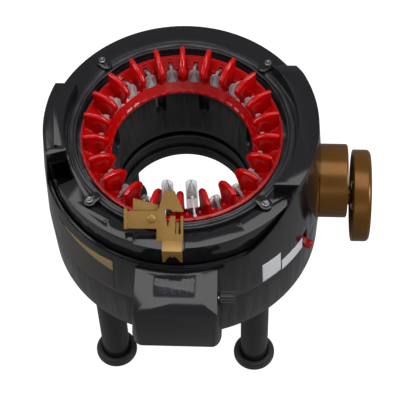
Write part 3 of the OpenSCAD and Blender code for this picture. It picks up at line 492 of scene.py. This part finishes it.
def crown_sector():
    """One pitch of the crown's skin, with half of each neighbouring needle's slot at its sides."""
    half = PITCH / 2
    slot_r, slot_end_r = LIP_R + 0.35, 84.5
    notch = [(BAND_R, 0), (slot_r, 0), (slot_r, 5.15), (71.6, 5.1), (73.7, 5.1), (74.6, 3.1), (77.4, 2.6),
             (79.5, 1.8), (slot_end_r, 1.8), (slot_end_r, 0), (FLOOR_R, 0)]
    left = [Matrix.Rotation(half, 2) @ Vector((u, -v)) for u, v in notch]
    right = [Vector((p.x, -p.y)) for p in left]
    arc = [polar(FLOOR_R, -half + PITCH * k / 10) for k in range(1, 10)]
    inner = [polar(BAND_R, half - PITCH * k / 10) for k in range(1, 10)]
    outline = right + arc + left[::-1] + inner
    edges = [(k, (k + 1) % len(outline)) for k in range(len(outline))]
    # rings of inner points: radius, and how far they keep from the slot's middle, if there is a slot
    rings = [(BAND_R + step, 0) for step in (0.15, 0.55, 1.0, 2.2, 3.4, 4.6)]
    rings += [(LIP_R - 0.4, 0), (LIP_R + 0.1, 0)]
    rings += [(70.4, 6.9), (72, 6.9), (74, 6.2), (76, 4.6), (78, 3.0), (80, 2.4), (82, 2.4), (84, 2.4)]
    rings += [(r, 0) for r in (85, 85.8, 86.3, 86.8, 87.3, 87.8, 88.4, 89.1)]
    count = 12
    fill = []
    for r, room in rings:
        for k in range(count + 1):
            angle = -half + PITCH * k / count
            if room == 0 or r * math.sin(half - abs(angle)) >= room:
                fill.append(polar(r, angle))
    verts, _, faces, *_ = geometry.delaunay_2d_cdt(outline + fill, edges, [], 1, 1e-4)
    bm = bmesh.new()
    made = [bm.verts.new(Vector((v.x, v.y, crown_top(v.length))) * MM) for v in verts]
    for face in faces:
        bm.faces.new([made[k] for k in face])
    return bm


def fin_rows():
    """Cross lines of a fin, each from its rounded crest down both flanks to a flared foot on the cone."""
    crest = rounded([
        (87.5, RIM_Z - 1.5), (87.5, FIN_TIP, 1.5), (81, FIN_TIP + 0.4, 24), (74, FIN_TIP - 0.6, 16),
        (68, FIN_TIP - 4.6, 9), (64.0, FIN_TIP - 9.2, 6), (62.6, FIN_TIP - 13, 4), (64.2, FIN_TIP - 17, 5),
        (66.6, FIN_TIP - 20.5, 8), (68.4, FIN_TIP - 25.5, 10), (69.2, LIP_Z - 1.2)], 6)
    fine = [crest[0]]
    for a, b in zip(crest, crest[1:]):
        parts = max(1, round((b - a).length / 1.5))
        fine += [a.lerp(b, (k + 1) / parts) for k in range(parts)]
    crest = [fine[0]] + [p for q, p in zip(fine, fine[1:]) if (p - q).length > 0.05]
    total = len(crest) - 1
    outer_foot_r = 85.2
    rows = []
    for k, p in enumerate(crest):
        along = crest[min(k + 1, total)] - crest[max(k - 1, 0)]
        inward = Vector((-along.y, along.x)).normalized()
        radius = 2.2 + 0.9 * min(max((87.5 - p.x) / 22, 0), 1) ** 1.5
        on_outer_edge = k / total < 0.2 and p.x > outer_foot_r
        if on_outer_edge or p.y > FIN_TIP - 6:
            foot_r = min(max(p.x, 74), outer_foot_r)
        else:
            foot_r = 74 - 3.6 * min((FIN_TIP - 6 - p.y) / 14, 1)
        foot = Vector((foot_r, crown_top(foot_r) - 0.5))
        row = [(p, 0.0)]
        for degrees in (18, 38, 60, 90):
            a = math.radians(degrees)
            row.append((p + inward * radius * (1 - math.cos(a)), radius * math.sin(a)))
        top = row[-1][0]
        for t, flare in ((0.4, 0.05), (0.7, 0.25), (0.88, 0.7), (1.0, 1.5)):
            row.append((top.lerp(foot, t), radius + flare))
        rows.append(row)
    return rows


def fin_faces(bm, rows):
    for side in (-1, 1):
        lines = [[bm.verts.new(Vector((p.x, side * y, p.y)) * MM) for p, y in row] for row in rows]
        for a, b in zip(lines, lines[1:]):
            for k in range(len(a) - 1):
                bm.faces.new([a[k], a[k + 1], b[k + 1], b[k]])


def stud_faces(bm):
    """The small raised blocks and pips that stand on the cone beside each fin."""
    block, pip = (79.6, 5.6, (3.4, 3.0, 1.5)), (84.2, 6.6, (1.1, 1.1, 0.9))
    for side in (-1, 1):
        for r, lateral, size in (block, pip):
            angle = side * (PITCH / 2 - math.asin(lateral / r))
            made = bmesh.ops.create_cube(bm, size=1)["verts"]
            spot = polar(r, angle)
            place = Matrix.Translation(Vector((spot.x, spot.y, crown_top(r) + 0.15)) * MM)
            place = place @ Matrix.Rotation(side * PITCH / 2, 4, "Z")
            bmesh.ops.transform(bm, matrix=place @ Matrix.Diagonal((*(Vector(size) * MM), 1)), verts=made)
            bmesh.ops.bevel(bm, geom=list({e for v in made for e in v.link_edges}), offset=0.25 * MM,
                            segments=2, affect="EDGES")


def ring_of(name, maker_tree, base, settings):
    """Applies a geometry tree to a base piece with its named settings, and leaves plain mesh."""
    modifier = base.modifiers.new(name, "NODES")
    modifier.node_group = maker_tree
    for item in maker_tree.interface.items_tree:
        if item.in_out == "INPUT" and item.name in settings:
            modifier[item.identifier] = settings[item.name]
    bake(base)
    return base


def circle_tree(name, material):
    """Repeats an object, Part, round Z: Count copies, the first of them turned by First Angle."""
    tree = bpy.data.node_groups.new(name, "GeometryNodeTree")
    face = tree.interface
    face.new_socket("Geometry", in_out="INPUT", socket_type="NodeSocketGeometry")
    face.new_socket("Part", in_out="INPUT", socket_type="NodeSocketObject")
    face.new_socket("Count", in_out="INPUT", socket_type="NodeSocketInt")
    face.new_socket("First Angle", in_out="INPUT", socket_type="NodeSocketFloat")
    face.new_socket("Geometry", in_out="OUTPUT", socket_type="NodeSocketGeometry")
    nodes, link = tree.nodes, tree.links.new
    given, out = nodes.new("NodeGroupInput"), nodes.new("NodeGroupOutput")
    line = nodes.new("GeometryNodeMeshLine")
    line.inputs["Offset"].default_value = (0, 0, 0)
    link(given.outputs["Count"], line.inputs["Count"])
    part = nodes.new("GeometryNodeObjectInfo")
    link(given.outputs["Part"], part.inputs["Object"])
    index = nodes.new("GeometryNodeInputIndex")
    step = nodes.new("ShaderNodeMath")
    step.operation = "DIVIDE"
    step.inputs[0].default_value = 2 * math.pi
    link(given.outputs["Count"], step.inputs[1])
    angle = nodes.new("ShaderNodeMath")
    angle.operation = "MULTIPLY_ADD"
    link(index.outputs[0], angle.inputs[0])
    link(step.outputs[0], angle.inputs[1])
    link(given.outputs["First Angle"], angle.inputs[2])
    turn = nodes.new("ShaderNodeCombineXYZ")
    link(angle.outputs[0], turn.inputs["Z"])
    place = nodes.new("GeometryNodeInstanceOnPoints")
    link(line.outputs["Mesh"], place.inputs["Points"])
    link(part.outputs["Geometry"], place.inputs["Instance"])
    link(turn.outputs[0], place.inputs["Rotation"])
    join = nodes.new("GeometryNodeJoinGeometry")
    link(place.outputs["Instances"], join.inputs[0])
    link(given.outputs["Geometry"], join.inputs[0])
    real = nodes.new("GeometryNodeRealizeInstances")
    link(join.outputs[0], real.inputs[0])
    paint = nodes.new("GeometryNodeSetMaterial")
    paint.inputs["Material"].default_value = material
    link(real.outputs[0], paint.inputs[0])
    link(paint.outputs[0], out.inputs[0])
    return tree


def make_crown():
    skin = mesh_object("crown_skin_sector", crown_sector(), fin_red)
    bm = bmesh.new()
    fin_faces(bm, fin_rows())
    bmesh.ops.remove_doubles(bm, verts=bm.verts, dist=1e-6)
    bmesh.ops.holes_fill(bm, edges=[e for e in bm.edges if len(e.link_faces) == 1], sides=0)
    stud_faces(bm)
    bmesh.ops.recalc_face_normals(bm, faces=bm.faces)
    fin = mesh_object("fin_sector", bm, fin_red)
    ring = circle_tree("sectors_round_the_bed", fin_red)
    parts = []
    for name, part in (("crown_skin", skin), ("fins", fin)):
        base = mesh_object(name, bmesh.new(), fin_red)
        ring_of("ring", ring, base, {"Part": part, "Count": NEEDLES, "First Angle": FIRST_FIN})
        parts.append(base)
        bpy.data.objects.remove(part)
    bm = bmesh.new()
    bm.from_mesh(parts[0].data)
    bmesh.ops.remove_doubles(bm, verts=bm.verts, dist=2e-5)
    made = bmesh.ops.extrude_face_region(bm, geom=bm.faces[:])
    for v in (g for g in made["geom"] if isinstance(g, bmesh.types.BMVert)):
        v.co.z = crown_under(v.co.xy.length / MM) * MM
    bmesh.ops.recalc_face_normals(bm, faces=bm.faces)
    bm.to_mesh(parts[0].data)
    bm.free()
    for part in parts:
        settle(shade(part, 38), "needle_bed", "red_plastic", "fin_ring")


# ---- needles and latches ----

def turned_copy(source, name, angle):
    """A needle or latch made once, carried round the bed."""
    mesh = source.data.copy()
    mesh.transform(Matrix.Rotation(angle, 4, "Z"))
    piece = bpy.data.objects.new(name, mesh)
    scene.collection.objects.link(piece)
    return piece


def softened_form(node, material, width):
    """A CAD node's form with rounded edges, as a loose piece that stands for nothing yet."""
    piece = mesh_object(node + "_form", node_mesh(node), material)
    bevel = round_edges(piece, width, 2)
    bevel.limit_method = "ANGLE"
    bevel.angle_limit = math.radians(30)
    bake(piece)
    return shade(piece, 35)


def add_core(needle, number, top):
    """The opaque bell-shaped core on the inner face of needle number, counted from 0, under its hook."""
    bm = bmesh.new()
    bm.from_mesh(needle.data)
    turn = Matrix.Rotation(FIRST_FIN + PITCH * (number + 0.5), 4, "Z")
    halves = ((1.0, 0.7), (3.5, 0.9), (6.5, 1.4), (9.5, 2.1), (12, 2.9), (14.5, 3.7), (20, 4.1), (30, 4.2))
    rows = []
    for drop, wide in halves:
        section = ((0.3, -wide), (-0.18, -wide + 0.35), (-0.25, 0), (-0.18, wide - 0.35), (0.3, wide))
        rows.append([bm.verts.new(turn @ (Vector((NEEDLE_R + out, y, top - drop)) * MM)) for out, y in section])
    made = []
    for a, b in zip(rows, rows[1:]):
        for k in range(5):
            n = (k + 1) % 5
            made.append(bm.faces.new([a[k], a[n], b[n], b[k]]))
    made += [bm.faces.new(rows[0]), bm.faces.new(rows[-1])]
    for face in made:
        face.material_index = 1
    bmesh.ops.recalc_face_normals(bm, faces=made)
    bm.to_mesh(needle.data)
    bm.free()


def make_needles():
    low = softened_form("needle_01", needle_clear, 0.3)
    high = softened_form("needle_11", needle_clear, 0.3)
    for form, number, top in ((low, 0, LOW_TOP), (high, RAISED[0], RAISED_TOP)):
        form.data.materials.append(needle_white)
        add_core(form, number, top)
        shade(form, 35)
    for k in range(NEEDLES):
        name = f"needle_{k + 1:02d}"
        form, start = (high, RAISED[0]) if k in RAISED else (low, 0)
        settle(turned_copy(form, name + "_form", (k - start) * PITCH), name, "white_plastic", name)
    latch = softened_form("latch_11", needle_white, 0.15)
    for k in RAISED:
        name = f"latch_{k + 1:02d}"
        settle(turned_copy(latch, name + "_form", (k - RAISED[0]) * PITCH), name, "white_plastic", name)
    for spare in (low, high, latch):
        bpy.data.objects.remove(spare)


# ---- crank ----

CRANK_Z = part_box("crank_shaft")[0].z / MM + 6
HUB_X, HUB_END_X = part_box("crank_hub")[0].x / MM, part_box("crank_hub")[1].x / MM
DISC_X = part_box("crank_disc")[0].x / MM
DISC_Z = (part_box("crank_disc")[0].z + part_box("crank_disc")[1].z) / 2 / MM


def make_crank():
    hub = [(0, 0), (33.6, 0), (34, 0.4), (34, 26, 5), (30.2, 26, 0.4), (29.6, 25.5), (29, 26, 0.4), (0, 26)]
    settle(lathe("crank_hub_form", rounded(hub, 8), crank_bronze, 160, along_x(HUB_X, 0, CRANK_Z)),
           "crank", "bronze_plastic", "crank_hub")
    disc = [(5.08, 0), (13, 0, 1), (15, 9, 1), (37, 9, 1.6), (40, 0, 0.9), (43, 0, 1.1), (43, 16.6, 4),
            (31, 16.6, 0.5), (30.3, 16.1), (29.6, 16.6, 0.5), (9.5, 16.6, 0.4), (9, 15.9), (7, 15.9, 0.4),
            (7, 11.6, 0.3), (5.08, 11.6)]
    settle(lathe("crank_disc_form", rounded(disc, 7), crank_bronze, 176, along_x(DISC_X, 0, DISC_Z)),
           "crank_disc", "bronze_plastic", "crank_disc")
    pin = [(0, -12), (4.98, -12), (4.98, 0), (8.8, 0, 0.6), (8.8, 5.3, 0.6), (4.98, 5.3),
           (4.98, 17.2, 0.5), (0, 17.2)]
    settle(lathe("crank_pin_form", rounded(pin), crank_bronze, 96, along_x(HUB_END_X, 0, DISC_Z)),
           "crank", "bronze_plastic", "crank_pin")
    collar = [(6.5, 0), (36.5, 0, 0.5), (36.5, 3.4, 1.3), (34.9, 5, 0.5), (6.5, 5)]
    collar_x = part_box("crank_collar")[0].x / MM
    settle(lathe("crank_collar_form", rounded(collar), crank_bronze, 160, along_x(collar_x, 0, CRANK_Z)),
           "frame", "bronze_plastic", "crank_collar")
    make_screw_head()


def make_screw_head():
    """The screw that keeps the disc on its pin, with a domed head and a driver's cross."""
    low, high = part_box("crank_screw")
    length = (high.x - low.x) / MM
    outline = [(0, 0), (2, 0), (2, length - 2.5), (6.4, length - 2.5, 0.3), (6.4, length - 1, 0.5),
               (3.6, length - 0.1, 3), (0, length)]
    screw = lathe("crank_screw_form", rounded(outline), turned_steel, 64, along_x(low.x / MM, 0, DISC_Z))
    for turn in (0, math.pi / 2):
        bm = bmesh.new()
        bmesh.ops.create_cube(bm, size=1)
        place = Matrix.Translation((high.x, 0, DISC_Z * MM)) @ Matrix.Rotation(turn + 0.5, 4, "X")
        bmesh.ops.transform(bm, matrix=place @ Matrix.Diagonal((2.6 * MM, 7 * MM, 1.1 * MM, 1)), verts=bm.verts)
        cutter = mesh_object("driver_cross", bm, turned_steel)
        cut = screw.modifiers.new("cross", "BOOLEAN")
        cut.object = cutter
        cut.solver = "EXACT"
        bake(screw)
        bpy.data.objects.remove(cutter)
    shade(screw, 30)
    settle(screw, frame["nodes"]["crank_screw"]["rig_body"], "steel", "crank_screw")


# ---- legs ----

def make_legs():
    leg_r, base, high = 13.2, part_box("lower_housing")[0].z / MM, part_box("legs")[1]
    spots = [(sx * (high.x / MM - leg_r), sy * (high.y / MM - leg_r)) for sx in (-1, 1) for sy in (-1, 1)]
    leg = [(0, 4), (12.4, 4), (leg_r, 4.8), (leg_r, base, 0.3), (9.2, base),
           (9.2, high.z / MM, 1), (0, high.z / MM)]
    foot = [(0, 0), (17.6, 0, 0.6), (20, 2.2, 1.4), (20, 5.2, 0.8), (18.6, 6.2, 0.8), (17.6, 8.9, 1.4),
            (14.6, 8.9, 0.4), (13.4, 8.2, 0.3), (13.4, 3.95), (0, 3.95)]
    for name, outline, material, slot in (
            ("legs", leg, shell_black, "black_shell"), ("rubber_feet", foot, foot_rubber, "rubber")):
        bm = bmesh.new()
        for x, y in spots:
            lathe_mesh(bm, rounded(outline, 4), 72, Matrix.Translation((x * MM, y * MM, 0)))
        bmesh.ops.recalc_face_normals(bm, faces=bm.faces)
        settle(shade(mesh_object(name + "_form", bm, material)), "frame", slot, name)


# ---- row counter ----

WHEEL_Y, WHEEL_Z = (sum(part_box("number_wheel_1")[k][a] for k in (0, 1)) / 2 / MM for a in (1, 2))
WHEEL_R = 8


def make_reset_knob():
    low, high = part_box("reset_knob")
    width = (high.x - low.x) / MM
    knob = lathe("reset_knob_form", rounded([
        (2, 0), (5.6, 0, 0.3), (6.3, 0.8, 0.3), (6.3, width - 0.8, 0.4), (5.4, width, 0.5), (0, width),
        (0, width - 3), (2, width - 3)]), inner_black, 96)
    bm = bmesh.new()
    lathe_mesh(bm, rounded([(0, 0.4), (0.72, 0.4, 0.4), (0.72, width - 0.4, 0.4), (0, width - 0.4)], 3), 12,
               Matrix.Translation((6.26 * MM, 0, 0)))
    bmesh.ops.recalc_face_normals(bm, faces=bm.faces)
    rib = mesh_object("grip_rib", bm, inner_black)
    ring_of("grip", circle_tree("ribs_round_the_knob", inner_black), knob,
            {"Part": rib, "Count": 16, "First Angle": 0.0})
    bpy.data.objects.remove(rib)
    knob.data.transform(along_x(low.x / MM, WHEEL_Y, WHEEL_Z))
    settle(shade(knob, 40), "reset_knob", "black_inner", "reset_knob")


def digit_mesh(figure):
    curve = bpy.data.curves.new("figure", "FONT")
    curve.body = figure
    curve.size = 1
    curve.align_x = "CENTER"
    curve.resolution_u = 4
    letter = bpy.data.objects.new("figure", curve)
    scene.collection.objects.link(letter)
    scene.view_layers[0].update()
    mesh = bpy.data.meshes.new_from_object(letter.evaluated_get(bpy.context.evaluated_depsgraph_get()))
    bpy.data.objects.remove(letter)
    return mesh


def make_number_wheels():
    """Four black wheels with white figures round their rims, each reading nought at the window."""
    figures = []
    for figure in "0123456789":
        bm = bmesh.new()
        bm.from_mesh(digit_mesh(figure))
        low = [min(v.co[a] for v in bm.verts) for a in (0, 1)]
        high = [max(v.co[a] for v in bm.verts) for a in (0, 1)]
        for v in bm.verts:
            v.co.x = (v.co.x - (low[0] + high[0]) / 2) / (high[0] - low[0]) * (1.4 if figure == "1" else 3.0)
            v.co.y = (v.co.y - (low[1] + high[1]) / 2) / (high[1] - low[1]) * 4.0
        for k in range(-3, 4):
            bmesh.ops.bisect_plane(bm, geom=bm.faces[:] + bm.edges[:] + bm.verts[:],
                                   plane_co=(0, k * 0.5, 0), plane_no=(0, 1, 0))
        mesh = bpy.data.meshes.new("flat_figure")
        bm.to_mesh(mesh)
        bm.free()
        figures.append(mesh)
    toward_window = math.radians(128)
    for number in range(4):
        node = f"number_wheel_{number + 1}"
        low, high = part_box(node)
        middle = (low.x + high.x) / 2 / MM
        width = (high.x - low.x) / MM
        outline = [(2.08, 0), (6, 0), (6.4, 0.3), (WHEEL_R, 0.3, 0.25), (WHEEL_R, width - 0.3, 0.25),
                   (6.4, width - 0.3), (6, width), (2.08, width)]
        wheel = lathe(node + "_form", rounded(outline), inner_black, 80, along_x(low.x / MM, WHEEL_Y, WHEEL_Z))
        wheel.data.materials.append(digit_white)
        bm = bmesh.new()
        bm.from_mesh(wheel.data)
        for k, flat in enumerate(figures):
            part = bmesh.new()
            part.from_mesh(flat)
            angle = toward_window + k * math.pi / 5
            made = bmesh.ops.extrude_face_region(part, geom=part.faces[:])
            raised = {v for v in made["geom"] if isinstance(v, bmesh.types.BMVert)}
            for v in part.verts:
                r = WHEEL_R + (0.035 if v in raised else -0.1)
                turn = angle - v.co.y / WHEEL_R
                v.co = Vector((middle + v.co.x, WHEEL_Y + r * math.cos(turn), WHEEL_Z + r * math.sin(turn))) * MM
            bmesh.ops.recalc_face_normals(part, faces=part.faces)
            for face in part.faces:
                face.material_index = 1
            whole = bpy.data.meshes.new("figure_band")
            part.to_mesh(whole)
            part.free()
            bm.from_mesh(whole)
            bpy.data.meshes.remove(whole)
        bm.to_mesh(wheel.data)
        bm.free()
        settle(shade(wheel, 30), node, "black_inner", node)


def window_frame():
    """The thin raised line round the counter's window, with rounded corners, on the case's slope."""
    low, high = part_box("counter_window")
    fall, run = 10.5, 38.5  # of the case's slope
    slope_start_y, down_slope = -122, 15
    mid_x = (low.x + high.x) / 2 / MM
    half_x, half_y = (high.x - low.x) / 2 / MM + 0.15, 8.75
    origin = Vector((mid_x, slope_start_y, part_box("counter_case")[1].z / MM))
    place = Matrix.Translation(origin * MM) @ Matrix.Rotation(math.atan2(fall, run), 4, "X")
    place = place @ Matrix.Translation((0, -down_slope * MM, 0))
    bm = bmesh.new()
    loops = []
    for grow, height in ((0.05, -0.3), (0.05, 0.12), (0.3, 0.24), (0.75, 0.24), (1.0, 0.12), (1.0, -0.3)):
        corner = 1.6 + grow
        outline = rounded([(-half_x - grow, -half_y - grow, corner), (half_x + grow, -half_y - grow, corner),
                           (half_x + grow, half_y + grow, corner), (-half_x - grow, half_y + grow, corner)], 6)
        loops.append([bm.verts.new(place @ (Vector((p.x, p.y, height)) * MM)) for p in outline])
    for a, b in zip(loops, loops[1:] + loops[:1]):
        for k in range(len(a)):
            n = (k + 1) % len(a)
            bm.faces.new([a[k], a[n], b[n], b[k]])
    bmesh.ops.recalc_face_normals(bm, faces=bm.faces)
    settle(shade(mesh_object("window_frame", bm, shell_black), 50), "frame", "black_shell")


# ---- plates, labels and marks ----

def wall_radius(z):
    """Radius of the housing's wall, which swells to the parting line and draws in again above it."""
    if z < PART_Z:
        return PART_R - 1.3 * (PART_Z - z) / LOWER_H
    return PART_R - 2.5 * (z - PART_Z) / RIM_H


def wall_patch(name, left, right, bottom, top, material, proud=0.35, lift=0.0, slot="black_shell", columns=24):
    """A thin plate on the housing's wall; bottom and top give its heights at each share of its width."""
    bm = bmesh.new()
    rows = 10
    skins = []
    for out in (lift - 0.3, lift + proud):
        skin = []
        for i in range(columns + 1):
            share = i / columns
            angle = math.radians(left + (right - left) * share)
            line = []
            for j in range(rows + 1):
                z = bottom(share) + (top(share) - bottom(share)) * j / rows
                spot = polar(wall_radius(z) + out, angle)
                line.append(bm.verts.new(Vector((spot.x, spot.y, z)) * MM))
            skin.append(line)
        skins.append(skin)
    for skin in skins:
        for i in range(columns):
            for j in range(rows):
                bm.faces.new([skin[i][j], skin[i + 1][j], skin[i + 1][j + 1], skin[i][j + 1]])
    rim = [(i, 0) for i in range(columns)] + [(columns, j) for j in range(rows)]
    rim += [(columns - i, rows) for i in range(columns)] + [(0, rows - j) for j in range(rows)]
    for k, (i, j) in enumerate(rim):
        m, n = rim[(k + 1) % len(rim)]
        bm.faces.new([skins[0][i][j], skins[0][m][n], skins[1][m][n], skins[1][i][j]])
    bmesh.ops.remove_doubles(bm, verts=bm.verts, dist=1e-6)
    bmesh.ops.recalc_face_normals(bm, faces=bm.faces)
    piece = mesh_object(name, bm, material)
    bevel = piece.modifiers.new("edges", "BEVEL")
    bevel.width = 0.12 * MM
    bevel.segments = 2
    bevel.angle_limit = math.radians(50)
    bake(piece)
    return settle(shade(piece, 40), "frame", slot)


def slant(a, b):
    return lambda share: a + (b - a) * share


def make_plates():
    wall_patch("name_plate", -149.4, -116.6, slant(157.8, 166.4), slant(207.4, 213.0), plate_dark)
    wall_patch("plate_band", -144, -116.6, lambda s: 208.3 + 4.4 * s - 15 * s ** 1.15, slant(208.6, 212.9),
               plate_gold, 0.1, 0.35, "gold_plastic")
    wall_patch("square_label", -54, -44.5, slant(166, 166), slant(193.5, 193.5),
               label_white, 0.15, 0, "white_plastic", 10)
    wall_patch("strip_label", -43.8, -30.2, slant(163.8, 163.8), slant(179, 179),
               label_white, 0.15, 0, "white_plastic", 14)


def make_rim_lines():
    """Two fine ridges that run round the housing's upper rim."""
    rim = PART_Z + RIM_H
    for number, (r, z) in enumerate(((123.0, rim - 0.05), (121.3, rim - 0.1))):
        section = [(r - 0.45, z - 0.5), (r + 0.45, z - 0.5),
                   (r + 0.35, z + 0.35, 0.3), (r - 0.35, z + 0.35, 0.3)]
        line = lathe(f"rim_line_{number + 1}", rounded(section, 3), shell_black, 220)
        settle(shade(line, 60), "frame", "black_shell")


# ---- carried-over CAD forms ----

def make_shells():
    for node, material, width, slot in (
            ("lower_housing", shell_black, 0.7, "black_shell"),
            ("upper_housing", shell_black, 0.8, "black_shell"),
            ("top_cover", shell_black, 0.7, "black_shell"),
            ("retaining_ring", ring_black, 0.35, "black_shell"),
            ("retaining_clips", shell_black, 0.6, "black_shell")):
        softened(node, material, width, slot)
    softened("screws", screw_steel, 0.3, "steel", segments=2)
    for node, width in (("base_plate", 0.5), ("inner_ring", 0.5), ("needle_cylinder", 0.35)):
        softened(node, inner_black, width, "black_inner", segments=2)
    softened("guide_base", shell_black, 0.35, "black_shell")
    for node, width in (("guide_plate", 0.3), ("guide_arm", 0.3), ("guide_rivet", 0.25)):
        softened(node, guide_gold, width, "gold_plastic")
    softened("counter_case", shell_black, 0.9, "black_shell")
    softened("counter_window", window_pane, 0.15, "pane", segments=2)
    softened("mode_lever", lever_red, 0.5, "red_plastic", shape=oval_grip)


def dress_inner_nodes():
    for node, material in (
            ("cam_ring", gear_nylon), ("crown_gear", gear_nylon), ("pinion", gear_nylon),
            ("crank_bearing", bush_nylon), ("crank_shaft", turned_steel), ("counter_shaft", turned_steel),
            ("counter_lever", gear_nylon)):
        dress(node, material)


place_camera()
light_studio()
lay_floor(floor_pale)
make_shells()
make_crown()
make_needles()
make_crank()
make_legs()
make_reset_knob()
make_number_wheels()
window_frame()
make_plates()
make_rim_lines()
dress_inner_nodes()
scene.view_settings.view_transform = "Standard"
